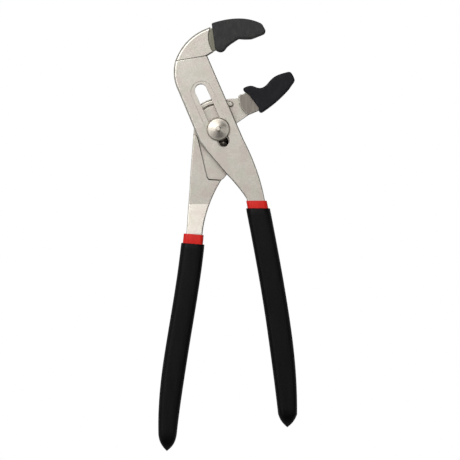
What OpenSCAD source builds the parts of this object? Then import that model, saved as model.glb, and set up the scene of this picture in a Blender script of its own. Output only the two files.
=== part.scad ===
// Running pliers of the slip joint pattern: a slotted front lever and a rear lever
// that share one pivot bolt, with rubber boots on the jaws and two-coat dipped handles.
// The tool lies on its back: Z points up along the pivot bolt, +Y points to the jaws.

/* [Joint] */
// Width of the long adjusting slot in the front lever
slot_w = 7.1; // [5.5:0.1:9]
// Lean of the slot from the tool's long direction, in degrees
slot_lean = 24; // [15:1:35]
// Distance from one groove to the next
pitch = 5; // [4:0.5:7]
// Number of grooves above the present one
steps_up = 5; // [1:1:6]
// Number of grooves below the present one
steps_down = 1; // [0:1:2]
// Extra slot beyond the highest groove position
slot_over = 0.35; // [0.3:0.05:2]
// Extra slot below the lowest groove position
slot_under = 2.7; // [0.3:0.1:6]
// Mean radius of the raised tongue about the pivot
tongue_r = 16.7; // [14:0.1:18]
// Width of the tongue
tongue_w = 2.8; // [2:0.1:3.4]
// Height of the tongue above the seat
tongue_h = 1.7; // [1:0.1:1.9]
// Side and top clearance of the tongue in a groove
groove_gap = 0.3; // [0.2:0.05:0.6]
// Half width of the grooved pad on the back of the front lever
pad_half = 9; // [7:0.5:10]

/* [Pivot bolt] */
// Diameter of the bolt neck
neck_d = 6.4; // [5:0.1:6.5]
// Radial running clearance of the neck in the rear lever
run_gap = 0.05; // [0.02:0.01:0.09]
// Diameter of the domed head
head_d = 13.8; // [11:0.1:16]
// Height of the domed head
head_h = 4.2; // [2.5:0.1:6]
// Width of the nut across its flats
nut_af = 11; // [9:0.5:12]
// Thickness of the nut
nut_h = 2.6; // [2:0.1:3]
// Thickness of the washer
washer_h = 0.5; // [0.3:0.1:0.8]

/* [Thickness] */
// Height of the lever backs above the bench
back_z = 1; // [0.5:0.1:2]
// Height of the rear lever's seat
seat_z = 5.5; // [4:0.1:7]
// Height of the rear lever's shoulder
shoulder_z = 7.4; // [6:0.1:8]
// Height of the front lever's plate face
plate_z = 12; // [10:0.1:14]
// Drop from the plate to the knuckle behind the upper jaw
knuckle_drop = 1; // [0.5:0.1:2]
// Drop from the plate to the necks that carry the boots
neck_drop = 2; // [1:0.1:3]
// Working gap between the two levers
lap_gap = 0.2; // [0.1:0.05:0.5]

/* [Jaw boots] */
// Rubber over the front of the jaws
boot_front = 2; // [1:0.1:3]
// Height of the boots' backs above the bench
boot_back_z = 0.2; // [0:0.1:1]
// Height of the jaws' backs inside the boots
jaw_back_z = 1.8; // [1:0.1:3]

/* [Handles] */
// Thickness of the black outer coat at the sides
outer_coat = 1; // [0.6:0.1:2]
// Thickness of the red inner coat at the sides
inner_coat = 1; // [0.6:0.1:2]
// Thickness of the handles over the outer coat
grip_t = 13; // [11:0.1:16]
// Largest half width of the left handle
left_half = 6.95; // [5.5:0.05:8]
// Largest half width of the right handle
right_half = 7.15; // [5.5:0.05:8]
// How much the handles narrow towards their ends
end_taper = 1.5; // [0.5:0.1:3]

/* [Hidden] */
$fn = 96;
u = [-sin(slot_lean), cos(slot_lean)];
top_s = steps_up * pitch;
low_s = -steps_down * pitch;
pad_z = seat_z + lap_gap;
lap_z = shoulder_z + lap_gap;
tongue_z = seat_z + tongue_h;
knuckle_z = plate_z - knuckle_drop;
neck_z = plate_z - neck_drop;
coat_face = 0.45;
rest_gap = 0.1;
well_z = nut_h + washer_h + rest_gap;
well_room = 0.8;
head_z = plate_z + rest_gap;
head_chamfer = 0.5;
lip_r = 1.4;
lip_z = 0.9;
lip_sweep = 66;
stud_foot_r = 1.3;
stud_r = 1;
stud_h = 0.35;
end_chamfer = 0.3;
washer_edge = 1;
nut_face = 0.1;
nut_corner = 0.9;
nut_chamfer = 0.6;
track_half = 6.4;
track_drop = 0.4;
groove_from = 20;
groove_sweep = 128;
tongue_from = 64;
tongue_sweep = 72;
tongue_end = 3.4;
pad_over = 30;
trough_r = 13.7;
trough_from = 79;
trough_sweep = 55;
trough_drop = 0.45;
trough_gap = 0.25;
trough_out = tongue_r - tongue_w / 2 - trough_gap;
relief_s = 7.8;
relief_r = 3;
relief_h = 1.9;
thread_d = neck_d - 0.8;
front_ramp = [-30.4, -32.4];
rear_ramp = [-44, -61.5];
bar_end = 0.94;
coat_end = 0.97;
tip_slope = 0.1;
tip_round = 0.84;
tip_power = 2.2;
far_y = -200;
far_x = 60;
over = 1;
inner_square = 5;
outer_square = 3.6;
stations = 12;
ring_n = 28;

// Points on an arc, and points on a curve with one or two control points.
function arc(c, r, a, b, n = 12) =
    [for (i = [0:n]) let (w = a + (b - a) * i / n) [c[0] + r * cos(w), c[1] + r * sin(w)]];
function bend(a, b, c, n = 8) =
    [for (i = [0:n]) let (t = i / n) (1 - t) * (1 - t) * a + 2 * t * (1 - t) * b + t * t * c];
function cubic(p, t) =
    pow(1 - t, 3) * p[0] + 3 * t * pow(1 - t, 2) * p[1] + 3 * t * t * (1 - t) * p[2] + pow(t, 3) * p[3];

// Handle centre lines, and half width along them.
left_axis = [[-14.9, -66], [-18.6, -104], [-28.5, -142], [-30, -180]];
right_axis = [[22.9, -44], [31, -85.3], [38.8, -126.7], [40.9, -168]];
left_tip = [-30.4, -189.8, grip_t / 2];
right_tip = [40.8, -175.8, grip_t / 2];
// Slant of the rims across each handle, and where the two rims lie along the centre line.
left_slant = -0.08;
right_slant = 0;
left_red_rim = -0.037;
left_black_rim = 0.012;
right_red_rim = -0.016;
right_black_rim = 0.02;
function narrowing(t) = end_taper * pow(max(0, (t - 0.6) / 0.4), 2);
function edge(axis, half, side, a, b, n = 8) =
    [for (i = [0:n]) let (t = a + (b - a) * i / n, p = cubic(axis, t))
        [p[0] + side * (half - narrowing(t)), p[1]]];

// Outlines of the steel.
function plate_outline() = concat(
    bend([-25.4, 40.5], [-27.8, 31], [-23.7, 22.8]),
    bend([-12, -5], [-10.9, -8.2], [-8.9, -10.3], 4),
    [[-0.6, -20]],
    bend([5, -26.6], [12.4, -34], [16.8, -41]),
    edge(right_axis, right_half - outer_coat - inner_coat, -1, 0.06, bar_end),
    edge(right_axis, right_half - outer_coat - inner_coat, 1, bar_end, 0.06),
    bend([27.3, -41], [24.2, -24], [15, -6.2], 10),
    [[-6.7, 43.7]]);
function knuckle_outline() = concat(
    [[-6.9, 43.1]],
    bend([-25.4, 40.5], [-19.8, 55.4], [-4.7, 60.3], 12),
    bend([-5.4, 58.2], [-6.9, 52.6], [-3.4, 46.2], 8),
    [[-2.9, 46], [-6.7, 43.7]]);
function upper_jaw_outline() = concat(
    [[-8, 57]],
    bend([-5, 59.4], [12, 66.4], [24.2, 60.6], 12),
    [[26, 58.2], [25.2, 57.4], [19.4, 55.2], [12, 55.6]],
    bend([6.6, 52.4], [1.6, 46.6], [-1.4, 47], 6),
    [[-3.6, 46], [-7, 48]]);
function seat_outline() = concat(
    arc([0, 0], 14.5, 174, 148, 6),
    arc([0, 0], 18.5, 137, 77, 16),
    [[12.6, 18.7], [20, 16], [17.8, 8.7]],
    bend([10.7, 3.8], [12, -8], [4.8, -26.8], 8),
    bend([4.6, -27], [3.4, -28.8], [2, -29.6], 4),
    [[-2, -31.5], [-10, -31.5], [-12.5, -12], [-13.6, -6], [-14.8, -2.8]]);
function handle_outline() = concat(
    arc([0, 0], 13.05, 195, 206, 3),
    [[-6.9, -26.4]],
    bend([-6.5, -27.9], [-6.2, -29.2], [-4.6, -29.2], 4),
    [[2, -29.6]],
    bend([1.4, -30.3], [-7.6, -45.5], [-9.4, -61.5], 10),
    edge(left_axis, left_half - outer_coat - inner_coat, 1, 0.02, bar_end),
    edge(left_axis, left_half - outer_coat - inner_coat, -1, bar_end, 0.02),
    [[-18.7, -60.5], [-17.8, -45.3], [-17, -35.6], [-16.5, -25.8], [-15, -6.2], [-14.8, -2.8]]);
function lower_jaw_outline() = concat(
    bend([12.2, 16.8], [12.8, 11.6], [17.8, 8.7], 6),
    [[24.2, 11.4]],
    bend([26.4, 12.1], [36.5, 19.4], [43.2, 28.4], 8),
    bend([43.2, 28.9], [42.6, 32.4], [40.8, 32.2], 4),
    [[36.6, 30.9]],
    bend([33.6, 29.2], [27.8, 21.8], [22.3, 23.2], 8),
    [[18.6, 23.9], [16.8, 22.2], [14.8, 20.9], [12.8, 20.5], [11.8, 19.6]]);

// Outlines of the rubber.
function upper_boot_outline() = concat(
    bend([-4, 62.5], [14.2, 68.4], [25.8, 62.1], 14),
    [[28.1, 57.9], [27.1, 56.5]],
    bend([19.8, 53.6], [14.8, 53.2], [12.2, 53.8], 4),
    [[7.4, 50.7], [5, 48.7]],
    bend([4.2, 47.4], [1.6, 44.2], [-1.9, 47.4], 8),
    [[-2.7, 53.4]]);
function lower_boot_outline() = concat(
    bend([14.3, 24], [17, 25.9], [20.1, 25.7], 6),
    bend([22.3, 24.8], [26.4, 23], [30, 28.2], 8),
    bend([31.4, 29.7], [33, 31.4], [36.8, 32.7], 4),
    [[41.2, 33.9]],
    bend([42.4, 33.9], [44.2, 32.4], [45.2, 28.7], 6),
    bend([41.8, 23.8], [34.8, 15.8], [25.6, 9.9], 10),
    [[24.2, 10.4], [23.6, 13], [18.2, 20.1], [16.1, 21.8]]);

module slab(points, z0, z1) {
    translate([0, 0, z0])
        linear_extrude(z1 - z0)
            polygon(points);
}

// A straight bar with round ends, laid along the slot.
module along_slot(half, s0, s1, z0, z1) {
    rotate([0, 0, slot_lean])
        translate([0, 0, z0]) {
            translate([-half, s0, 0])
                cube([2 * half, s1 - s0, z1 - z0]);
            translate([0, s0, 0])
                cylinder(r = half, h = z1 - z0);
            translate([0, s1, 0])
                cylinder(r = half, h = z1 - z0);
        }
}

// A side view drawn in Y and Z, and swept across the tool's width.
module side_view(points, x0, x1) {
    translate([x0, 0, 0])
        rotate([90, 0, 90])
            linear_extrude(x1 - x0)
                polygon(points);
}

module front_lever() {
    color([0.72, 0.70, 0.67])
    difference() {
        union() {
            intersection() {
                slab(plate_outline(), back_z, plate_z);
                side_view([[far_x, lap_z], [front_ramp[0], lap_z], [front_ramp[1], back_z],
                           [far_y, back_z], [far_y, plate_z + over], [far_x, plate_z + over]],
                    -far_x, far_x);
            }
            intersection() {
                slab(plate_outline(), pad_z, lap_z + over);
                along_slot(pad_half, low_s, top_s + pad_over, pad_z - over, lap_z + over / 2);
            }
            slab(knuckle_outline(), back_z, knuckle_z);
            slab(upper_jaw_outline(), jaw_back_z, neck_z);
        }
        along_slot(slot_w / 2, low_s - slot_under, top_s + slot_over, 0, plate_z + over);
        along_slot(track_half, 0, top_s - over, plate_z - track_drop, plate_z + over);
        for (i = [-steps_down:steps_up])
            translate([u[0] * i * pitch, u[1] * i * pitch, 0])
                groove();
    }
}

// One arc groove, long enough for the tongue at every opening of the tool.
module groove() {
    half = tongue_w / 2 + groove_gap;
    rotate([0, 0, groove_from])
        rotate_extrude(angle = groove_sweep)
            translate([tongue_r - half, pad_z - over])
                square([2 * half, tongue_z + groove_gap - pad_z + over]);
}

module rear_lever() {
    color([0.70, 0.68, 0.66])
    difference() {
        union() {
            slab(seat_outline(), back_z, seat_z);
            intersection() {
                slab(handle_outline(), back_z, plate_z);
                side_view([[0, back_z], [far_y, back_z], [far_y, plate_z], [rear_ramp[1], plate_z],
                           [rear_ramp[0], shoulder_z], [0, shoulder_z]], -far_x, far_x);
            }
            slab(lower_jaw_outline(), jaw_back_z, neck_z);
            tongue();
        }
        rotate([0, 0, trough_from])
            rotate_extrude(angle = trough_sweep)
                polygon([[trough_r, seat_z], [trough_out, seat_z - trough_drop],
                         [trough_out, seat_z + over], [trough_r, seat_z + over]]);
        translate([0, 0, -over])
            cylinder(r = neck_d / 2 + run_gap, h = seat_z + 2 * over);
        translate([0, 0, back_z - over])
            cylinder(d = nut_af / cos(30) + 2 * well_room, h = well_z - back_z + over);
        translate([-u[0] * relief_s, -u[1] * relief_s, seat_z - relief_h])
            cylinder(r1 = 0, r2 = 2 * relief_r, h = 2 * relief_h);
    }
}

// The raised arc that drops into a groove, with a rounded end that shows past the plate.
module tongue() {
    rotate([0, 0, tongue_from]) {
        rotate_extrude(angle = tongue_sweep)
            translate([tongue_r - tongue_w / 2, back_z + over])
                square([tongue_w, tongue_z - back_z - over]);
        translate([tongue_r, 0, back_z + over])
            cylinder(d = tongue_end, h = tongue_z - back_z - over);
    }
}

module pivot_bolt() {
    r = head_d / 2;
    color([0.74, 0.72, 0.68])
    union() {
        translate([0, 0, head_z])
            rotate_extrude()
                polygon(concat([[0, 0], [r - head_chamfer, 0], [r, head_chamfer]],
                    arc([r - lip_r, lip_z], lip_r, 0, lip_sweep, 6),
                    [[stud_foot_r, head_h - stud_h], [stud_r, head_h], [0, head_h]]));
        translate([0, 0, nut_h])
            cylinder(d = neck_d, h = head_z - nut_h);
        translate([0, 0, end_chamfer])
            cylinder(d = thread_d, h = nut_h);
        cylinder(d1 = thread_d - 2 * end_chamfer, d2 = thread_d, h = end_chamfer);
    }
}

module pivot_washer() {
    color([0.66, 0.65, 0.63])
    translate([0, 0, nut_h])
        difference() {
            cylinder(d = nut_af + washer_edge, h = washer_h);
            translate([0, 0, -over])
                cylinder(d = neck_d, h = washer_h + 2 * over);
        }
}

module pivot_nut() {
    color([0.62, 0.61, 0.60])
    difference() {
        intersection() {
            cylinder(d = nut_af / cos(30), h = nut_h, $fn = 6);
            rotate_extrude()
                polygon([[0, 0], [nut_af / 2 - nut_face, 0],
                         [nut_af / 2 + nut_corner, nut_chamfer],
                         [nut_af / 2 + nut_corner, nut_h], [0, nut_h]]);
        }
        translate([0, 0, -over])
            cylinder(d = thread_d, h = nut_h + 2 * over);
    }
}

module upper_jaw_boot() {
    color([0.24, 0.24, 0.24])
    difference() {
        slab(upper_boot_outline(), boot_back_z, neck_z + boot_front);
        slab(upper_jaw_outline(), jaw_back_z, neck_z);
    }
}

module lower_jaw_boot() {
    color([0.15, 0.15, 0.17])
    difference() {
        slab(lower_boot_outline(), boot_back_z, neck_z + boot_front);
        slab(lower_jaw_outline(), jaw_back_z, neck_z);
    }
}

// One ring of a dipped handle, level across the tool, with squarish rounded corners.
// at: place along the centre line; in: how far inside the outer coat the ring lies.
function ring(axis, half, slant, square_up, at, side_in, face_in) =
    let (c = cubic(axis, at), a = half - narrowing(at) - side_in, b = grip_t / 2 - face_in)
    [for (i = [0:ring_n - 1])
        let (w = 360 * (i + 0.5) / ring_n, dx = a * soft(cos(w), square_up))
        [c[0] + dx, c[1] + slant * dx, grip_t / 2 + b * soft(sin(w), square_up)]];
function soft(v, n) = sign(v) * pow(abs(v), 2 / n);

// A ring drawn in towards the drip tip: k is 0 at the handle's end and 1 at the tip.
function tip_ring(last, tip, k) =
    let (s = 1 - tip_slope * k - tip_round * pow(k, tip_power))
    [for (p = last) [
        tip[0] * k + centre(last)[0] * (1 - k) + (p[0] - centre(last)[0]) * s,
        tip[1] * k + centre(last)[1] * (1 - k) + (p[1] - centre(last)[1]) * s,
        grip_t / 2 + (p[2] - grip_t / 2) * s]];
function centre(r) = [for (k = [0:2]) [for (p = r) p[k]] * [for (p = r) 1] / len(r)];

// A closed solid through a list of rings with equal numbers of points.
module loft(rings) {
    n = len(rings[0]);
    m = len(rings);
    polyhedron(
        points = [for (r = rings) for (p = r) p],
        faces = concat(
            [[for (i = [0:n - 1]) i]],
            [for (j = [0:m - 2]) for (i = [0:n - 1]) each [
                [j * n + i, (j + 1) * n + i, (j + 1) * n + (i + 1) % n],
                [j * n + i, (j + 1) * n + (i + 1) % n, j * n + (i + 1) % n]]],
            [[for (i = [n - 1:-1:0]) (m - 1) * n + i]]));
}

// Rings where the two coats meet, from the outer coat's rim to the inner coat's hidden end.
function inner_rings(axis, half, slant, rim) =
    [for (i = [0:stations]) ring(axis, half, slant, inner_square,
        rim + (coat_end - rim) * i / stations, outer_coat, coat_face)];

// Rings of the outer coat: out along its face to the drip tip.
function outer_rings(axis, half, slant, rim, tip) = concat(
    [for (i = [0:stations])
        ring(axis, half, slant, outer_square, rim + (1 - rim) * i / stations, 0, 0)],
    [for (k = [0.3, 0.55, 0.75, 0.9, 1])
        tip_ring(ring(axis, half, slant, outer_square, 1, 0, 0), tip, k)]);

// The inner coat, which shows from its own rim to the outer coat's, with room for the steel bar.
module undercoat(axis, half, slant, rim, outer_rim, bar) {
    difference() {
        loft(concat(
            [ring(axis, half, slant, inner_square, rim, outer_coat, coat_face)],
            inner_rings(axis, half, slant, outer_rim)));
        slab(bar, back_z, plate_z);
    }
}

// The outer coat: one skin that runs round the drip tip, in at the rim and down the inside.
module dip_grip(axis, half, slant, rim, tip) {
    out = outer_rings(axis, half, slant, rim, tip);
    hole = inner_rings(axis, half, slant, rim);
    last = len(out) - 1;
    loft(concat([for (i = [last:-1:0]) out[i]], hole));
}

module right_undercoat() {
    color([0.80, 0.12, 0.10])
    undercoat(right_axis, right_half, right_slant, right_red_rim, right_black_rim, plate_outline());
}

module right_grip() {
    color([0.09, 0.09, 0.10])
    dip_grip(right_axis, right_half, right_slant, right_black_rim, right_tip);
}

module left_undercoat() {
    color([0.80, 0.12, 0.10])
    undercoat(left_axis, left_half, left_slant, left_red_rim, left_black_rim, handle_outline());
}

module left_grip() {
    color([0.09, 0.09, 0.10])
    dip_grip(left_axis, left_half, left_slant, left_black_rim, left_tip);
}

front_lever();
rear_lever();
pivot_bolt();
pivot_washer();
pivot_nut();
upper_jaw_boot();
lower_jaw_boot();
right_undercoat();
right_grip();
left_undercoat();
left_grip();
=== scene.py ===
"""Running pliers of the slip joint pattern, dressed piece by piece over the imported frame."""

import logging
import math
from collections.abc import Callable, Mapping, Sequence
from dataclasses import dataclass, field
from enum import Enum
from itertools import pairwise

import bmesh
import bpy
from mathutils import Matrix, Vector


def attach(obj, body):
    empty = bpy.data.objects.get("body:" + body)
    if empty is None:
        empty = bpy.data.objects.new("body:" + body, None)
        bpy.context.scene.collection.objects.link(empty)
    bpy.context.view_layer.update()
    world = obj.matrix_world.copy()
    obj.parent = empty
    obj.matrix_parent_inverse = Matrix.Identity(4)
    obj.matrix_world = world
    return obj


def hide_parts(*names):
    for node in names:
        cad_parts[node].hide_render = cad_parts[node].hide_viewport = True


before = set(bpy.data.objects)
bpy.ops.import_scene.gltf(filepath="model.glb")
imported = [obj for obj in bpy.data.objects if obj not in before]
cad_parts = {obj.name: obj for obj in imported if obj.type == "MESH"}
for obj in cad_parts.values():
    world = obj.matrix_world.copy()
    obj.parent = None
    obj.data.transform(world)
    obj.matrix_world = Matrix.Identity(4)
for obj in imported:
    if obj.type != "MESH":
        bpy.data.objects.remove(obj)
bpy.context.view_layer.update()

MM = 0.001
LOG = logging.getLogger("running_pliers")
Colour = tuple[float, float, float, float]
Point = tuple[float, float, float]
FaceTest = Callable[[Vector, Vector], bool]
NEAR = 0.05  # how far off a level a place may be and still count as on it, in millimetres


class Body(Enum):
    """The moving bodies of the tool, by their names in the frame."""

    FRONT = "front"
    PIVOT = "pivot"
    REAR = "rear"


class Slot(Enum):
    """The record's material slots."""

    STEEL = "satin_nickel_steel"
    BOLT = "bolt_steel"
    WASHER = "washer_steel"
    # the upper boot is the same black rubber as the lower one; its grey is painted light from above
    UPPER_RUBBER = "grey_rubber"
    LOWER_RUBBER = "black_rubber"
    RED = "red_dip"
    BLACK = "black_dip"


# ---------------------------------------------------------------- finishes


class Wire:
    """A value in a finish: one output socket, with arithmetic that adds Math nodes."""

    def __init__(self, paint: "Paint", socket: bpy.types.NodeSocket) -> None:
        """Keeps the socket and the paint that it belongs to."""
        self.paint = paint
        self.socket = socket

    def maths(self, operation: str, *values: "Wire | float") -> "Wire":
        """Adds one Math node.

        Args:
            operation: The Math node's operation.
            values: Its inputs, in order.

        Returns:
            The node's result.
        """
        return self.paint.add("ShaderNodeMath", {"operation": operation}, dict(enumerate(values)))

    def __add__(self, other: "Wire | float") -> "Wire":
        """Sum."""
        return self.maths("ADD", self, other)

    def __radd__(self, other: float) -> "Wire":
        """Sum, with the number first."""
        return self.maths("ADD", other, self)

    def __sub__(self, other: "Wire | float") -> "Wire":
        """Difference."""
        return self.maths("SUBTRACT", self, other)

    def __rsub__(self, other: float) -> "Wire":
        """Difference, with the number first."""
        return self.maths("SUBTRACT", other, self)

    def __mul__(self, other: "Wire | float") -> "Wire":
        """Product."""
        return self.maths("MULTIPLY", self, other)

    def __rmul__(self, other: float) -> "Wire":
        """Product, with the number first."""
        return self.maths("MULTIPLY", other, self)


class Paint:
    """A procedural finish being mixed: its node tree and the ways to add to it."""

    def __init__(self, name: str) -> None:
        """Starts an empty finish.

        Args:
            name: The material's name.
        """
        self.material = bpy.data.materials.new(name)
        self.material.use_nodes = True
        self.tree = self.material.node_tree
        self.tree.nodes.clear()

    def place(
        self, kind: str, settings: Mapping[str, object], inputs: Mapping[str | int, object]
    ) -> bpy.types.Node:
        """Adds a node of any type.

        Args:
            kind: The node's type.
            settings: Its settings, set first; "stops" are a ramp's positions and colours.
            inputs: A value or a wire for each socket that isn't left as it is.

        Returns:
            The node.
        """
        node = self.tree.nodes.new(kind)
        for name, value in settings.items():
            if name != "stops":
                setattr(node, name, value)
                continue
            ramp = node.color_ramp.elements
            while len(ramp) < len(value):
                ramp.new(0.5)
            for stop, (position, colour) in zip(ramp, value):
                stop.position, stop.color = position, colour
        for name, value in inputs.items():
            if isinstance(value, Wire):
                self.tree.links.new(value.socket, node.inputs[name])
            else:
                node.inputs[name].default_value = value
        return node

    def add(
        self,
        kind: str,
        settings: Mapping[str, object] | None = None,
        inputs: Mapping[str | int, object] | None = None,
        output: str | int = 0,
    ) -> Wire:
        """Adds a node and gives back one of its outputs.

        Args:
            kind: The node's type.
            settings: Its settings.
            inputs: Values or wires for its sockets.
            output: Which output.

        Returns:
            That output.
        """
        return Wire(self, self.place(kind, settings or {}, inputs or {}).outputs[output])

    def spot(self) -> Wire:
        """The place on the piece, in the frame's own metres."""
        return self.add("ShaderNodeTexCoord", output="Object")

    def noise(self, size: float, detail: float = 3.0, at: Wire | None = None) -> Wire:
        """Soft noise.

        Args:
            size: The size of its patches, in millimetres.
            detail: How many finer layers it has.
            at: Where it is read, or the place on the piece.

        Returns:
            A value from 0 to 1.
        """
        return self.add(
            "ShaderNodeTexNoise",
            {},
            {"Vector": at or self.spot(), "Scale": 1 / (size * MM), "Detail": detail},
        )

    def stretched(self, scale: Point, turn: float = 0.0) -> Wire:
        """The place on the piece, turned about Z and scaled along each axis.

        Args:
            scale: The scale along X, Y and Z.
            turn: The turn, in degrees.

        Returns:
            The place.
        """
        return self.add(
            "ShaderNodeMapping",
            {},
            {"Vector": self.spot(), "Rotation": (0, 0, math.radians(turn)), "Scale": scale},
        )

    def limits(self, value: Wire, low: float, high: float, start: float, end: float) -> Wire:
        """Maps low..high to start..end, smoothly and without leaving them."""
        return self.add(
            "ShaderNodeMapRange",
            {"interpolation_type": "SMOOTHSTEP"},
            {0: value, 1: low, 2: high, 3: start, 4: end},
        )

    def mix(self, share: Wire | float, one: Wire | Colour, other: Wire | Colour) -> Wire:
        """A colour between two others, by the share of the second."""
        return self.add(
            "ShaderNodeMix", {"data_type": "RGBA"}, {0: share, 6: one, 7: other}, output=2
        )

    def mark(self, name: str) -> Wire:
        """A mark that was put on the piece's faces."""
        return self.add("ShaderNodeAttribute", {"attribute_name": name}, output="Fac")

    def bump(self, height: Wire, depth: float, strength: float, under: Wire | None = None) -> Wire:
        """A relief.

        Args:
            height: Its height, from 0 to 1.
            depth: The height of 1, in millimetres.
            strength: How strongly it shows.
            under: A coarser relief that it lies on.

        Returns:
            The normal.
        """
        inputs = {"Strength": strength, "Distance": depth * MM, "Height": height}
        if under is not None:
            inputs["Normal"] = under
        return self.add("ShaderNodeBump", {}, inputs)

    def done(self, sockets: Mapping[str, object]) -> bpy.types.Material:
        """Closes the finish.

        Args:
            sockets: The main shader's values and wires.

        Returns:
            The material.
        """
        shader = self.add("ShaderNodeBsdfPrincipled", {}, sockets)
        self.place("ShaderNodeOutputMaterial", {}, {"Surface": shader})
        return self.material


@dataclass(frozen=True)
class SatinSteel:
    """Blasted and nickel plated steel: faint tinted patches, a fine grain, brighter worn edges,
    painted shade near black in marked hollows and corners, and a darker rough skin from the forging
    that also carries painted shade.
    """

    name: str
    pale: Colour = (0.64, 0.60, 0.54, 1)
    rosy: Colour = (0.60, 0.53, 0.48, 1)
    green: Colour = (0.57, 0.56, 0.47, 1)
    dull: Colour = (0.50, 0.47, 0.42, 1)
    # darker colour of the rough skin from the forging, deepened as painted shade by the boots
    forged: Colour = (0.26, 0.23, 0.20, 1)
    worn: Colour = (0.72, 0.69, 0.62, 1)
    # near-black colour of the painted shade in marked hollows and corners
    painted_shade_tone: Colour = (0.030, 0.024, 0.018, 1)
    patch: float = 9.0
    grain: float = 0.35
    roughness: float = 0.38

    def material(self) -> bpy.types.Material:
        """Mixes the finish."""
        paint = Paint(self.name)
        warm = paint.limits(paint.noise(self.patch), 0.38, 0.62, 0, 1)
        cool = paint.limits(paint.noise(self.patch * 0.7, at=paint.stretched((1, 1, 1), 70)),
                            0.46, 0.68, 0, 0.8)
        fine = paint.noise(self.grain, 2)
        speck = paint.limits(paint.noise(0.9, 3), 0.32, 0.68, 0, 0.55)
        brushed = paint.noise(1.2, 4, paint.stretched((1, 0.12, 1), 24))
        plain = paint.mix(cool, paint.mix(warm, self.pale, self.rosy), self.green)
        ground = paint.mix(speck, plain, self.dull)
        # Marked faces get a rougher, brushed skin from the forging and a darker colour that is
        # partly painted shade by the boots.
        skin_and_shade = paint.mark("forged")
        forging = skin_and_shade * paint.limits(brushed, 0.2, 0.8, 0.75, 1.0)
        skin = paint.mix(forging, ground, self.forged)
        edge = paint.mark("edge") * paint.limits(paint.noise(2.5), 0.35, 0.6, 0.35, 1)
        # Marked hollows and corners are painted near black: painted shade where shadow falls, a
        # little broken by noise.
        grease = paint.mark("grease") * paint.limits(paint.noise(1.4), 0.2, 0.6, 0.85, 1)
        colour = paint.mix(grease, paint.mix(edge, skin, self.worn), self.painted_shade_tone)
        level = self.roughness + 0.10 * (fine - 0.5) + 0.12 * skin_and_shade - 0.03 * edge
        broad = paint.bump(brushed, 0.03, 0.25)
        relief = paint.bump(fine, 0.02, 0.35, broad)
        return paint.done(
            {"Base Color": colour, "Metallic": 1.0, "Roughness": level, "Normal": relief}
        )


@dataclass(frozen=True)
class TurnedSteel:
    """Polished steel off the lathe: fine rings about the Z axis and a bright surface."""

    name: str
    tone: Colour = (0.72, 0.67, 0.59, 1)
    shade: Colour = (0.58, 0.52, 0.44, 1)
    ring: float = 0.42
    roughness: float = 0.38

    def material(self) -> bpy.types.Material:
        """Mixes the finish."""
        paint = Paint(self.name)
        flat = paint.stretched((1, 1, 0))
        radius = paint.add("ShaderNodeVectorMath", {"operation": "LENGTH"}, {0: flat}, "Value")
        wobble = paint.noise(2.2, 2)
        phase = radius * (2 * math.pi / (self.ring * MM)) + wobble * 2.0
        rings = 0.5 + 0.5 * phase.maths("SINE", phase)
        fine = paint.noise(0.3, 2)
        colour = paint.mix(paint.limits(paint.noise(3.0), 0.35, 0.7, 0, 0.7), self.tone, self.shade)
        level = self.roughness + 0.10 * (fine - 0.5) + 0.05 * rings
        relief = paint.bump(rings, 0.006, 0.35, paint.bump(fine, 0.01, 0.2))
        return paint.done(
            {"Base Color": colour, "Metallic": 1.0, "Roughness": level, "Normal": relief}
        )


@dataclass(frozen=True)
class DipCoat:
    """Dipped vinyl: a soft orange peel, faint flow marks down the handle, a low sheen."""

    name: str
    tone: Colour
    light: Colour
    roughness: float = 0.42
    sheen: float = 0.25

    def material(self) -> bpy.types.Material:
        """Mixes the finish."""
        paint = Paint(self.name)
        peel = paint.noise(1.6, 2)
        flow = paint.noise(3.0, 3, paint.stretched((1, 0.15, 1)))
        dust = paint.limits(paint.noise(0.5, 4), 0.55, 0.8, 0, 1)
        colour = paint.mix(paint.limits(flow, 0.35, 0.7, 0, 1), self.tone, self.light)
        level = self.roughness + 0.14 * (flow - 0.5) + 0.10 * dust
        relief = paint.bump(peel, 0.10, 0.30, paint.bump(flow, 0.12, 0.25))
        return paint.done(
            {
                "Base Color": colour,
                "Roughness": level,
                "Specular IOR Level": self.sheen,
                "Normal": relief,
            }
        )


@dataclass(frozen=True)
class MouldedRubber:
    """Moulded rubber: a matt skin with fine pores, soft scuffs and a little bloom."""

    name: str
    tone: Colour
    bloom: Colour
    roughness: float = 0.62
    sheen: float = 0.3

    def material(self) -> bpy.types.Material:
        """Mixes the finish."""
        paint = Paint(self.name)
        pores = paint.noise(0.35, 3)
        lumps = paint.noise(2.4, 2)
        scuffs = paint.noise(2.6, 4, paint.stretched((1, 0.6, 1), -60))
        colour = paint.mix(paint.limits(scuffs, 0.4, 0.75, 0, 1), self.tone, self.bloom)
        level = self.roughness + 0.18 * (pores - 0.5) + 0.08 * lumps
        relief = paint.bump(pores, 0.05, 0.45, paint.bump(lumps, 0.25, 0.35))
        return paint.done(
            {
                "Base Color": colour,
                "Roughness": level,
                "Specular IOR Level": self.sheen,
                "Normal": relief,
            }
        )


# ---------------------------------------------------------------- bench work


@dataclass(frozen=True)
class EdgeRule:
    """How wide to round the outward edges that pass a test."""

    width: float
    test: FaceTest


@dataclass(frozen=True)
class Station:
    """One section of a swept piece: its middle, half width and half height, in millimetres."""

    x: float
    y: float
    z: float
    wide: float
    high: float

    def middle(self) -> Vector:
        """Its middle, in metres."""
        return Vector((self.x, self.y, self.z)) * MM


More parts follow.
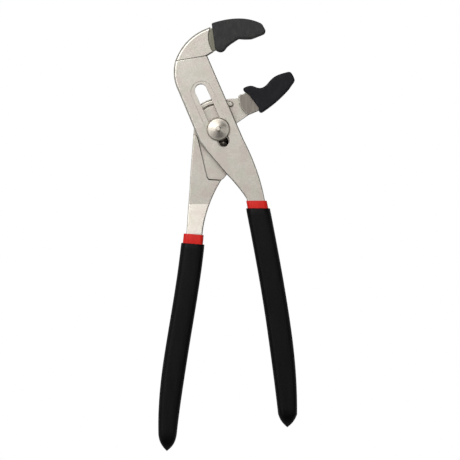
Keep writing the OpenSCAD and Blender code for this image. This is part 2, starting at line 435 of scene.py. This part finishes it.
@dataclass
class Bench:
    """One piece while it is being made, and the steps that shape it."""

    name: str
    piece: bpy.types.Object | None = None

    def deselect(self) -> None:
        """Leaves edit mode and deselects everything."""
        if bpy.context.object is not None and bpy.context.object.mode != "OBJECT":
            bpy.ops.object.mode_set(mode="OBJECT")
        bpy.ops.object.select_all(action="DESELECT")

    def take(self, piece: bpy.types.Object) -> None:
        """Names a new piece and makes it the one that is worked on."""
        piece.name = self.name
        piece.data.name = self.name
        self.deselect()
        bpy.context.view_layer.objects.active = piece
        piece.select_set(True)
        self.piece = piece

    def copy_of(self, node: str, tidy: float = 1.0) -> "Bench":
        """Starts from a copy of a frame node's mesh, merged and cleared of needless edges.

        Args:
            node: The node's name.
            tidy: The angle below which an edge is dissolved, in degrees.

        Returns:
            This bench.
        """
        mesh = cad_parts[node].data.copy()
        mesh.materials.clear()
        piece = bpy.data.objects.new(self.name, mesh)
        bpy.context.scene.collection.objects.link(piece)
        self.take(piece)
        bpy.ops.mesh.customdata_custom_splitnormals_clear()
        self.edit()
        bpy.ops.mesh.remove_doubles(threshold=0.002 * MM)
        if tidy > 0:
            bpy.ops.mesh.dissolve_limited(angle_limit=math.radians(tidy))
        self.leave()
        return self

    def edit(self) -> None:
        """Enters edit mode with everything selected."""
        bpy.ops.object.mode_set(mode="EDIT")
        bpy.ops.mesh.select_mode(type="FACE")
        bpy.ops.mesh.select_all(action="SELECT")

    def leave(self) -> None:
        """Leaves edit mode."""
        bpy.ops.object.mode_set(mode="OBJECT")

    def pick_faces(self, test: FaceTest) -> None:
        """Selects the faces that pass a test, and no others.

        Args:
            test: Given a face's middle in millimetres and its normal.
        """
        mesh = bmesh.from_edit_mesh(self.piece.data)
        bpy.ops.mesh.select_all(action="DESELECT")
        picked = [f for f in mesh.faces if test(f.calc_center_median() / MM, f.normal)]
        for face in picked:
            face.select_set(True)
        bmesh.update_edit_mesh(self.piece.data)

    def extrude(self, move: Vector) -> None:
        """Extrudes what is selected by a move in metres."""
        bpy.ops.mesh.extrude_region_move(TRANSFORM_OT_translate={"value": move})

    def resize(self, factors: Point, about: Vector) -> None:
        """Resizes what is selected about a point in metres."""
        bpy.ops.transform.resize(value=factors, center_override=about)

    def section(self, start: Station, corner: float, turn: float, steps: int = 7) -> "Bench":
        """Starts from a flat section, level in Z and across Y, with rounded corners.

        Args:
            start: Its place and size.
            corner: The radius of its corners, in millimetres.
            turn: Its turn about Z, in degrees.
            steps: How many flats round each corner has.

        Returns:
            This bench, in edit mode with the section selected.
        """
        self.deselect()
        bpy.ops.mesh.primitive_plane_add(
            size=2 * start.wide * MM,
            location=start.middle(),
            rotation=(math.pi / 2, 0, math.radians(turn)),
        )
        self.take(bpy.context.object)
        bpy.ops.object.transform_apply(location=True, rotation=True, scale=True)
        self.edit()
        self.resize((1, 1, start.high / start.wide), start.middle())
        bpy.ops.mesh.bevel(
            offset=corner * MM, offset_type="OFFSET", segments=steps, affect="VERTICES"
        )
        return self

    def sweep(self, stations: Sequence[Station]) -> None:
        """Extrudes the selected section from one station to the next, resized at each."""
        for here, there in pairwise(stations):
            self.extrude(there.middle() - here.middle())
            across = there.wide / here.wide
            self.resize((across, across, there.high / here.high), there.middle())

    def turned(self, profile: Sequence[tuple[float, float]], flats: int = 96) -> "Bench":
        """Turns a solid about the Z axis, from its lowest face up and in to its top.

        Args:
            profile: Radius and height of each step, in millimetres.
            flats: How many flats round it has.

        Returns:
            This bench.
        """
        self.deselect()
        (radius, height), *steps = profile
        bpy.ops.mesh.primitive_circle_add(
            vertices=flats, radius=radius * MM, fill_type="NGON", location=(0, 0, height * MM)
        )
        self.take(bpy.context.object)
        bpy.ops.object.transform_apply(location=True, rotation=True, scale=True)
        self.edit()
        for wide, level in steps:
            self.extrude(Vector((0, 0, (level - height) * MM)))
            self.resize((wide / radius, wide / radius, 1), Vector((0, 0, level * MM)))
            radius, height = wide, level
        self.right_way_out()
        self.leave()
        return self

    def right_way_out(self) -> None:
        """Turns every face outwards, in edit mode."""
        bpy.ops.mesh.select_all(action="SELECT")
        bpy.ops.mesh.normals_make_consistent(inside=False)

    def keep_side(self, spot: Point, outward: Point) -> "Bench":
        """Cuts the piece with a plane, closes the cut and keeps the side behind the plane.

        Args:
            spot: A point of the plane, in millimetres.
            outward: The plane's normal, towards the side that goes.

        Returns:
            This bench.
        """
        self.edit()
        bpy.ops.mesh.bisect(
            plane_co=Vector(spot) * MM,
            plane_no=outward,
            use_fill=True,
            clear_outer=True,
            threshold=0.002 * MM,
        )
        bpy.ops.mesh.select_all(action="SELECT")
        bpy.ops.mesh.remove_doubles(threshold=0.008 * MM)
        self.leave()
        return self

    def join(self, other: "Bench") -> "Bench":
        """Takes another piece's mesh into this one."""
        self.deselect()
        other.piece.select_set(True)
        self.piece.select_set(True)
        bpy.context.view_layer.objects.active = self.piece
        bpy.ops.object.join()
        return self

    def round_edges(self, rules: Sequence[EdgeRule], steps: int = 3, sharp: float = 25) -> None:
        """Rounds each outward edge by the first rule that it passes.

        Args:
            rules: The rules, in order.
            steps: How many flats round each edge has.
            sharp: The least angle between an edge's faces, in degrees.
        """
        widest = max(rule.width for rule in rules)
        mesh = bmesh.new()
        mesh.from_mesh(self.piece.data)
        layer = mesh.edges.layers.float.new("bevel_weight_edge")
        for edge in mesh.edges:
            bend = math.degrees(edge.calc_face_angle(0))
            if not edge.is_convex or bend < sharp:
                continue
            middle = (edge.verts[0].co + edge.verts[1].co) / 2 / MM
            outward = (edge.link_faces[0].normal + edge.link_faces[1].normal).normalized()
            for rule in rules:
                if rule.test(middle, outward):
                    edge[layer] = rule.width / widest
                    break
        mesh.to_mesh(self.piece.data)
        mesh.free()
        step = self.piece.modifiers.new("rounding", "BEVEL")
        step.limit_method = "WEIGHT"
        step.width = widest * MM
        step.segments = steps
        step.use_clamp_overlap = False
        step.loop_slide = False
        step.material = 1
        blank = bpy.data.materials.get("blank") or bpy.data.materials.new("blank")
        for _ in range(2):
            self.piece.data.materials.append(blank)
        bpy.ops.object.modifier_apply(modifier=step.name)
        self.mark("edge", [float(p.material_index == 1) for p in self.piece.data.polygons])
        self.piece.data.materials.clear()

    def crease(self, levels: Sequence[float], reach: float = 0.3) -> None:
        """Keeps the edges sharp that lie across the tool at some places in Y.

        Args:
            levels: The places, in millimetres.
            reach: How far off a place an edge may lie, in millimetres.
        """
        mesh = bmesh.new()
        mesh.from_mesh(self.piece.data)
        for edge in mesh.edges:
            if any(all(abs(v.co.y / MM - y) < reach for v in edge.verts) for y in levels):
                edge.smooth = False
        mesh.to_mesh(self.piece.data)
        mesh.free()

    def mark(self, name: str, values: Sequence[float]) -> None:
        """Puts a mark on every face, for the finish to read."""
        layer = self.piece.data.attributes.new(name, "FLOAT", "FACE")
        layer.data.foreach_set("value", list(values))

    def mark_faces(self, name: str, test: FaceTest) -> None:
        """Marks the faces that pass a test with 1 and the others with 0."""
        faces = self.piece.data.polygons
        self.mark(name, [float(test(Vector(f.center) / MM, Vector(f.normal))) for f in faces])

    def soften(self, voxel: float, rounds: int) -> None:
        """Remeshes the piece evenly and relaxes its corners, as rubber comes from a mould.

        Args:
            voxel: The size of the new faces, in millimetres.
            rounds: How often it is relaxed.
        """
        step = self.piece.modifiers.new("even", "REMESH")
        step.mode = "VOXEL"
        step.voxel_size = voxel * MM
        bpy.ops.object.modifier_apply(modifier=step.name)
        self.edit()
        bpy.ops.mesh.select_mode(type="VERT")
        bpy.ops.mesh.select_all(action="SELECT")
        bpy.ops.mesh.vertices_smooth(factor=0.5, repeat=rounds)
        self.leave()

    def finish(
        self,
        material: bpy.types.Material,
        body: Body,
        slot: Slot,
        nodes: Sequence[str],
        smooth: float = 35,
        flat: bool = False,
    ) -> bpy.types.Object:
        """Dresses the piece and puts it on its body.

        Args:
            material: Its finish.
            body: The body that it rides on.
            slot: The record's slot of its finish; not used.
            nodes: The frame nodes that it stands for.
            smooth: The angle above which an edge stays sharp, in degrees.
            flat: Whether the large faces stay flat up to their rounded edges.

        Returns:
            The piece.
        """
        self.deselect()
        bpy.context.view_layer.objects.active = self.piece
        self.piece.select_set(True)
        bpy.ops.object.shade_smooth_by_angle(angle=math.radians(smooth))
        if flat:
            step = self.piece.modifiers.new("flat", "WEIGHTED_NORMAL")
            step.weight, step.keep_sharp = 100, True
            bpy.ops.object.modifier_apply(modifier=step.name)
        self.piece.data.materials.clear()
        self.piece.data.materials.append(material)
        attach(self.piece, body.value)
        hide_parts(*nodes)
        LOG.info("%s: %d faces on %s", self.name, len(self.piece.data.polygons), body.value)
        return self.piece


# ---------------------------------------------------------------- the tool


@dataclass
class SlotLine:
    """The line of the adjusting slot in the front lever, and how far a place lies off it."""

    lean: float = 24.0

    def along(self, spot: Vector) -> float:
        """How far up the slot a place is, in millimetres."""
        turn = math.radians(self.lean)
        return -math.sin(turn) * spot.x + math.cos(turn) * spot.y

    def aside(self, spot: Vector) -> float:
        """How far beside the slot's middle a place is, in millimetres."""
        turn = math.radians(self.lean)
        return abs(math.cos(turn) * spot.x + math.sin(turn) * spot.y)


@dataclass
class FrontLever:
    """The slotted lever with the upper jaw: plate, knuckle, jaw and right handle in one forging."""

    plate: float = 12.0
    track: float = 11.6
    knuckle: float = 11.0
    neck: float = 10.0
    back: float = 1.0
    slot: SlotLine = field(default_factory=SlotLine)
    step_corner: Point = (-25.4, 40.5, 6.0)
    step_way: Point = (-3.2, 18.7, 0.0)
    gap: float = 0.01
    lap: float = 7.6
    slot_side: float = 6.7
    slot_ends: tuple[float, float] = (-12.0, 32.0)
    rim_start: float = -12.0
    jaw_start: float = 40.0
    step_reach: float = 0.3

    def past_step(self, spot: Vector) -> float:
        """How far a place is above the step between plate and knuckle, in millimetres."""
        return (spot - Vector(self.step_corner)).dot(Vector(self.step_way).normalized())

    def by_the_slot(self, spot: Vector) -> bool:
        """Whether an edge belongs to the slot or to its track."""
        low, high = self.slot_ends
        return self.slot.aside(spot) < self.slot_side and low < self.slot.along(spot) < high

    def level(self, spot: Vector, height: float) -> bool:
        """Whether a place lies at a height."""
        return abs(spot.z - height) < 0.03

    def rules(self) -> list[EdgeRule]:
        """How its edges are rounded."""
        plate, knuckle = self.plate - NEAR, self.knuckle - NEAR
        return [
            EdgeRule(0.14, lambda p, n: self.by_the_slot(p) and self.level(p, self.plate)),
            EdgeRule(0.14, lambda p, n: self.by_the_slot(p) and self.level(p, self.track)),
            EdgeRule(0.0, lambda p, n: self.by_the_slot(p)),
            EdgeRule(0.97, lambda p, n: p.z > plate and abs(self.past_step(p)) < self.step_reach),
            EdgeRule(1.5, lambda p, n: p.z > plate and n.x < -0.3 and p.y > self.rim_start),
            EdgeRule(0.8, lambda p, n: p.z > plate),
            EdgeRule(0.0, lambda p, n: abs(self.past_step(p)) < NEAR),
            EdgeRule(1.6, lambda p, n: p.z > knuckle and n.x < -0.05 and p.y > self.jaw_start),
            EdgeRule(0.5, lambda p, n: p.z > knuckle),
            EdgeRule(0.5, lambda p, n: p.z > self.neck - NEAR),
            EdgeRule(0.8, lambda p, n: p.z < self.back + NEAR),
            EdgeRule(0.2, lambda p, n: abs(p.z - self.lap) < 2 * NEAR),
        ]

    def shaded_step_foot(self, spot: Vector, normal: Vector) -> bool:
        """Whether a face is at the foot of the step, where painted shade darkens the corner."""
        close = abs(self.past_step(spot)) < self.step_reach
        return close and spot.z > self.knuckle and normal.z < 0.75

    def shaded_crescent(self, spot: Vector, normal: Vector) -> bool:
        """Whether a face is the hollow between the knuckle and the boot, painted darker: rough skin
        from the forging, with painted shade from the boot.
        """
        return normal.z > 0.9 and abs(spot.z - self.neck) < NEAR

    def build(self, finish: SatinSteel) -> None:
        """Makes the lever and dresses it."""
        corner, way = self.step_corner, Vector(self.step_way).normalized()
        above, below = Vector(corner) + way * self.gap, Vector(corner) - way * self.gap
        knuckle = Bench("knuckle").copy_of("front_lever").keep_side(above, -way)
        knuckle.round_edges(self.rules(), 4)
        bench = Bench("front_lever_steel").copy_of("front_lever").keep_side(below, way)
        bench.round_edges(self.rules(), 4)
        bench.join(knuckle)
        # The hollow by the upper boot is painted darker, partly as painted shade.
        bench.mark_faces("forged", self.shaded_crescent)
        # The foot of the step gets painted shade.
        bench.mark_faces("grease", self.shaded_step_foot)
        bench.finish(finish.material(), Body.FRONT, Slot.STEEL, ["front_lever"], flat=True)


@dataclass
class RearLever:
    """The lever with the lower jaw: seat, tongue, jaw and left handle in one forging."""

    neck: float = 10.0
    tongue: float = 7.2
    seat: float = 5.5
    track: float = 4.9
    jaw_start: float = 5.0
    back: float = 1.0
    nub: tuple[float, float] = (7.32, 15.01)
    relief: tuple[float, float] = (3.17, -7.13)
    ramp: tuple[float, float] = (-44.0, -61.5)

    def rules(self) -> list[EdgeRule]:
        """How its edges are rounded."""
        return [
            EdgeRule(0.06, lambda p, n: p.z < 5.6 and p.y > 9 and 13 < p.xy.length < 15.25),
            EdgeRule(0.12, lambda p, n: p.z < 5.6 and self.off_relief(p) < 3.5),
            EdgeRule(1.1, lambda p, n: p.z > 5.6 and (p.xy - Vector(self.nub)).length < 1.75),
            EdgeRule(1.1, lambda p, n: abs(p.z - self.tongue) < NEAR and p.xy.length > 17),
            EdgeRule(0.4, lambda p, n: abs(p.z - self.tongue) < NEAR),
            EdgeRule(0.3, lambda p, n: abs(p.z - self.seat) < NEAR),
            EdgeRule(0.15, lambda p, n: abs(p.z - self.track) < NEAR),
            EdgeRule(0.45, lambda p, n: p.y > self.jaw_start and p.z > self.neck - NEAR),
            EdgeRule(0.7, lambda p, n: p.y < 0 and n.z > 0.2 and p.z > 7.3),
            EdgeRule(0.8, lambda p, n: p.z < self.back + NEAR and p.xy.length > 8),
            EdgeRule(0.25, lambda p, n: p.z < 4),
        ]

    def off_relief(self, spot: Vector) -> float:
        """How far a place is from the middle of the drilled relief, in millimetres."""
        return (spot.xy - Vector(self.relief)).length

    def in_painted_shade(self, spot: Vector, normal: Vector) -> bool:
        """Whether a face gets painted shade: the drilled relief, bar its lit lower wall, and the
        foot of the shoulder.
        """
        low = spot.y < self.relief[1] - 0.9 and spot.x < self.relief[0] + 1.6
        relief = self.off_relief(spot) < 3.4 and spot.z < self.seat - NEAR and not low
        foot = -31.2 < spot.y < -27.6 and -8 < spot.x < 3 and normal.y > 0.2 and spot.z > 5
        return relief or foot

    def shaded_block(self, spot: Vector, normal: Vector) -> bool:
        """Whether a face is the block between the shoulder and the boot, painted darker: rough skin
        from the forging, with painted shade from the boot and shoulder.
        """
        level = abs(spot.z - self.neck) < NEAR
        return level and normal.z > 0.9 and spot.y > self.jaw_start

    def build(self, finish: SatinSteel) -> None:
        """Makes the lever and dresses it."""
        bench = Bench("rear_lever_steel").copy_of("rear_lever")
        bench.round_edges(self.rules())
        bench.crease(self.ramp)
        # The block by the lower boot is painted darker, partly as painted shade.
        bench.mark_faces("forged", self.shaded_block)
        # The drilled relief and the foot of the shoulder get painted shade.
        bench.mark_faces("grease", self.in_painted_shade)
        bench.finish(finish.material(), Body.REAR, Slot.STEEL, ["rear_lever"], flat=True)


@dataclass
class Pivot:
    """The pivot bolt with its turned head, and the nut and washer on its end."""

    neck: float = 3.2
    thread: float = 2.8
    nut_top: float = 2.6
    head: float = 6.9
    under_head: float = 12.1
    top: float = 16.3
    lip: float = 1.4
    thread_cut: float = 0.22
    dome: tuple[tuple[float, float], ...] = (
        (5.9, 2.02), (4.6, 1.53), (3.2, 1.02), (1.9, 0.56), (1.45, 0.42),
        (1.32, 0.30), (1.18, 0.12), (0.95, 0.02), (0.6, 0.0), (0.25, 0.0),
    )

    def bolt_profile(self) -> list[tuple[float, float]]:
        """Radius and height of each turned step, from the flat end to the top of the head.

        The dome's steps are kept as radius and depth below the top.
        """
        low, high = self.under_head, self.top
        threads = [
            (self.thread - self.thread_cut * (step % 2), 0.35 + 0.25 * step) for step in range(9)
        ]
        lip = [
            (self.head - self.lip + self.lip * math.cos(a), low + 0.9 + self.lip * math.sin(a))
            for a in (math.radians(11 * k) for k in range(7))
        ]
        return [
            (0.7, 0.25),
            (1.0, 0.0),
            (self.thread - 0.35, 0.0),
            (self.thread - 0.1, 0.12),
            *threads,
            (self.thread, self.nut_top),
            (self.neck - 0.15, self.nut_top),
            (self.neck, self.nut_top + 0.15),
            (self.neck, low),
            (self.head - 0.5, low),
            (self.head - 0.12, low + 0.15),
            (self.head, low + 0.5),
            *lip,
            *((radius, high - depth) for radius, depth in self.dome),
        ]

    def build(self, bolt: TurnedSteel, washer: TurnedSteel, nut: TurnedSteel) -> None:
        """Makes the three pieces and dresses them."""
        bench = Bench("pivot_bolt_turned").turned(self.bolt_profile())
        bench.finish(bolt.material(), Body.PIVOT, Slot.BOLT, ["pivot_bolt"], 28)
        bench = Bench("pivot_washer_stamped").copy_of("pivot_washer")
        bench.round_edges([EdgeRule(0.12, lambda p, n: True)], 2)
        bench.finish(washer.material(), Body.PIVOT, Slot.WASHER, ["pivot_washer"], flat=True)
        bench = Bench("pivot_nut_hex").copy_of("pivot_nut")
        bench.round_edges([EdgeRule(0.05, lambda p, n: True)], 2)
        bench.finish(nut.material(), Body.PIVOT, Slot.BOLT, ["pivot_nut"], flat=True)


@dataclass
class JawBoot:
    """A rubber boot that is pushed over one jaw."""

    node: str
    body: Body
    slot: Slot
    voxel: float = 0.36
    rounds: int = 14

    def build(self, finish: MouldedRubber) -> None:
        """Makes the boot and dresses it."""
        bench = Bench(f"{self.node}_moulded").copy_of(self.node, 0)
        bench.soften(self.voxel, self.rounds)
        bench.finish(finish.material(), self.body, self.slot, [self.node], 80)


@dataclass
class DippedHandle:
    """A handle dipped twice: a thin red coat, and a thick black coat that starts below its rim."""

    side: str
    body: Body
    axis: tuple[tuple[float, float], ...]
    half: float
    turn: float
    red_rim: float
    black_rim: float
    tip: tuple[float, float]
    thick: float = 13.0
    coat: float = 1.0
    face: float = 0.45
    taper: float = 1.5
    slack: float = 0.05
    drip_slope: float = 0.25
    drip_point: float = 0.06
    drip_steps: int = 12

    def on_axis(self, t: float) -> tuple[float, float]:
        """The place of t on the handle's middle line, in millimetres."""
        a, b, c, d = ((1 - t) ** 3, 3 * t * (1 - t) ** 2, 3 * t * t * (1 - t), t**3)
        return tuple(
            a * self.axis[0][k] + b * self.axis[1][k] + c * self.axis[2][k] + d * self.axis[3][k]
            for k in (0, 1)
        )

    def at(self, t: float, less: float = 0.0, flat: float = 0.0) -> Station:
        """The section at t, drawn in by less at its sides and by flat at its faces."""
        x, y = self.on_axis(t)
        narrow = self.taper * max(0.0, (t - 0.6) / 0.4) ** 2
        wide, high = self.half - narrow - less, self.thick / 2 - flat
        return Station(x, y, self.thick / 2, wide - self.slack, high - self.slack)

    def run(self, start: float, end: float, count: int, less: float, flat: float) -> list[Station]:
        """Evenly spaced sections from start to end."""
        return [
            self.at(start + (end - start) * k / count, less, flat) for k in range(count + 1)
        ]

    def lip(self, rim: float, less: float, flat: float, radius: float) -> list[Station]:
        """Three sections that round the rim over, from its face to its full size."""
        reach = math.dist(self.on_axis(rim), self.on_axis(rim + 0.01)) / 0.01
        return [
            self.at(rim + radius * (1 - math.cos(a)) / reach, less + radius * (1 - math.sin(a)),
                    flat + radius * (1 - math.sin(a)) * 0.6)
            for a in (math.radians(k) for k in (8, 35, 62))
        ]

    def drip(self, last: Station) -> list[Station]:
        """Sections from the end of the handle to the point where the last drop set."""
        made = []
        for step in range(1, self.drip_steps + 1):
            k = step / self.drip_steps
            size = 1 - self.drip_slope * k - (1 - self.drip_point - self.drip_slope) * k**2.6
            made.append(
                Station(
                    last.x + (self.tip[0] - last.x) * k,
                    last.y + (self.tip[1] + 0.25 - last.y) * k,
                    last.z,
                    last.wide * size,
                    last.high * size,
                )
            )
        end = made[-1]
        made.append(Station(end.x, end.y - 0.15, end.z, end.wide * 0.72, end.high * 0.72))
        made.append(Station(end.x, end.y - 0.22, end.z, end.wide * 0.3, end.high * 0.3))
        return made

    def skin(
        self, name: str, outside: Sequence[Station], inside: Sequence[Station], corner: float
    ) -> Bench:
        """A coat: swept down its outside, then in at its rim and down its inside.

        Args:
            name: The piece's name.
            outside: Its sections from the rim to the far end.
            inside: Its sections from the rim to the blind end.
            corner: The radius of its corners, in millimetres.

        Returns:
            The bench that holds it.
        """
        bench = Bench(name).section(outside[0], corner, self.turn)
        bench.sweep(outside)
        rim = outside[0]
        middle = rim.middle() / MM
        bench.pick_faces(lambda p, n: (p - middle).length < 6 * NEAR)
        narrow, high = inside[0].wide / rim.wide, inside[0].high / rim.high
        bench.extrude(Vector((0, 0, 0)))
        bench.resize((narrow, narrow, high), rim.middle())
        bench.sweep([Station(rim.x, rim.y, rim.z, inside[0].wide, inside[0].high), *inside[1:]])
        bench.right_way_out()
        bench.leave()
        return bench

    def build(self, red: DipCoat, black: DipCoat) -> None:
        """Makes both coats and dresses them."""
        under = self.run(self.red_rim, 0.97, 30, self.coat, self.face)
        core = self.run(self.red_rim, 0.93, 24, 2 * self.coat, 1.0)
        outside = self.lip(self.red_rim, self.coat, self.face, 0.4) + under[1:]
        bench = self.skin(f"{self.side}_undercoat_red", outside, core, 2.4)
        bench.finish(red.material(), self.body, Slot.RED, [f"{self.side}_undercoat"], 60)
        over = self.run(self.black_rim, 1.0, 34, 0.0, 0.0)
        outside = self.lip(self.black_rim, 0.0, 0.0, 0.5) + over[1:]
        inner = self.run(self.black_rim, 0.97, 30, self.coat, self.face)
        bench = self.skin(f"{self.side}_grip_black", outside + self.drip(over[-1]), inner, 4.0)
        bench.finish(black.material(), self.body, Slot.BLACK, [f"{self.side}_grip"], 60)


@dataclass
class Studio:
    """A pale floor, soft lights and the camera straight above the tool."""

    target: tuple[float, float] = (0.0069, -0.0593)
    height: float = 1.516
    lens: float = 200.0

    def light(
        self, name: str, azimuth: float, tilt: float, far: float, size: float, glow: float
    ) -> None:
        """Adds a square soft light that faces the tool.

        Args:
            name: Its name.
            azimuth: Its direction round the tool, in degrees from +X.
            tilt: Its angle from straight up, in degrees.
            far: Its distance, in metres.
            size: The length of its side, in metres.
            glow: How bright its face is.
        """
        around, up = math.radians(azimuth), math.radians(tilt)
        way = Vector(
            (math.sin(up) * math.cos(around), math.sin(up) * math.sin(around), math.cos(up))
        )
        lamp = bpy.data.lights.new(name, "AREA")
        lamp.shape, lamp.size = "SQUARE", size
        lamp.energy = glow * math.pi * size * size
        holder = bpy.data.objects.new(name, lamp)
        holder.location = Vector((0.0, -0.03, 0.01)) + way * far
        holder.rotation_euler = way.to_track_quat("Z", "Y").to_euler()
        bpy.context.scene.collection.objects.link(holder)

    def floor(self) -> None:
        """Lays the floor: burnt out to white where it is seen, and pale grey in the steel."""
        bpy.ops.object.select_all(action="DESELECT")
        bpy.ops.mesh.primitive_plane_add(size=8, location=(0, 0, -0.0003))
        plane = bpy.context.object
        plane.name = "floor"
        paint = Paint("pale_floor")
        cloud = paint.noise(400, 2)
        tone = paint.mix(cloud, (0.62, 0.62, 0.61, 1), (0.68, 0.68, 0.67, 1))
        paper = paint.add("ShaderNodeBsdfPrincipled", {}, {"Base Color": tone, "Roughness": 0.9})
        seen = paint.add("ShaderNodeLightPath", output="Is Camera Ray")
        white = paint.add("ShaderNodeEmission", {}, {"Color": (1, 1, 1, 1), "Strength": 1.0})
        both = paint.add("ShaderNodeMixShader", {}, {0: seen, 1: paper, 2: white})
        paint.place("ShaderNodeOutputMaterial", {}, {"Surface": both})
        plane.data.materials.append(paint.material)

    def camera(self) -> None:
        """Sets the camera."""
        eye = bpy.data.cameras.new("camera")
        eye.lens, eye.sensor_width = self.lens, 36.0
        holder = bpy.data.objects.new("camera", eye)
        holder.location = (*self.target, self.height)
        bpy.context.scene.collection.objects.link(holder)
        bpy.context.scene.camera = holder

    def build(self) -> None:
        """Sets up camera, floor, world and lights."""
        self.camera()
        self.floor()
        scene = bpy.context.scene
        scene.view_settings.view_transform = "Standard"
        scene.world = bpy.data.worlds.new("room")
        scene.world.use_nodes = True
        air = scene.world.node_tree.nodes["Background"]
        air.inputs["Color"].default_value = (0.98, 1.0, 1.0, 1)
        air.inputs["Strength"].default_value = 0.09
        self.light("overhead", 95, 11, 1.75, 1.15, 1.13)
        self.light("key", 140, 40, 0.8, 0.5, 2.7)
        self.light("top", 96, 46, 1.0, 0.5, 1.9)
        self.light("left", 186, 52, 1.0, 0.5, 1.3)
        self.light("right_fill", 355, 42, 1.0, 0.55, 0.85)
        self.light("low_fill", 222, 42, 1.0, 0.5, 0.60)


def main() -> None:
    """Builds the studio and then the tool, piece by piece."""
    logging.basicConfig(level=logging.INFO, format="%(message)s")
    Studio().build()
    # The front lever's olive tone on the hollow by the upper boot is darkened further as painted
    # shade.
    FrontLever().build(SatinSteel("satin_nickel_front", forged=(0.19, 0.185, 0.14, 1)))
    RearLever().build(SatinSteel("satin_nickel_rear", rosy=(0.59, 0.52, 0.47, 1)))
    Pivot().build(
        TurnedSteel("turned_bolt"),
        TurnedSteel("zinc_washer", roughness=0.4),
        TurnedSteel("nut_steel", roughness=0.35, ring=0.8),
    )
    # Both boots are the same black rubber; the upper boot's lighter grey is painted light, where it
    # catches more light from above.
    JawBoot("upper_jaw_boot", Body.FRONT, Slot.UPPER_RUBBER).build(
        MouldedRubber("grey_rubber", (0.036, 0.037, 0.036, 1), (0.052, 0.052, 0.050, 1))
    )
    JawBoot("lower_jaw_boot", Body.REAR, Slot.LOWER_RUBBER).build(
        MouldedRubber("black_rubber", (0.007, 0.007, 0.010, 1), (0.012, 0.012, 0.016, 1))
    )
    red = DipCoat("red_dip", (0.80, 0.013, 0.008, 1), (0.90, 0.026, 0.017, 1), 0.42, 0.24)
    black = DipCoat("black_dip", (0.0035, 0.003, 0.0032, 1), (0.006, 0.005, 0.0055, 1), 0.42, 0.13)
    DippedHandle(
        "left", Body.REAR, ((-14.9, -66), (-18.6, -104), (-28.5, -142), (-30, -180)),
        half=6.95, turn=-4.6, red_rim=-0.037, black_rim=0.012, tip=(-30.4, -189.8),
    ).build(red, black)
    DippedHandle(
        "right", Body.FRONT, ((22.9, -44), (31, -85.3), (38.8, -126.7), (40.9, -168)),
        half=7.15, turn=0.0, red_rim=-0.016, black_rim=0.02, tip=(40.8, -175.8), drip_slope=0.48,
    ).build(red, black)


if __name__ == "__main__":
    main()
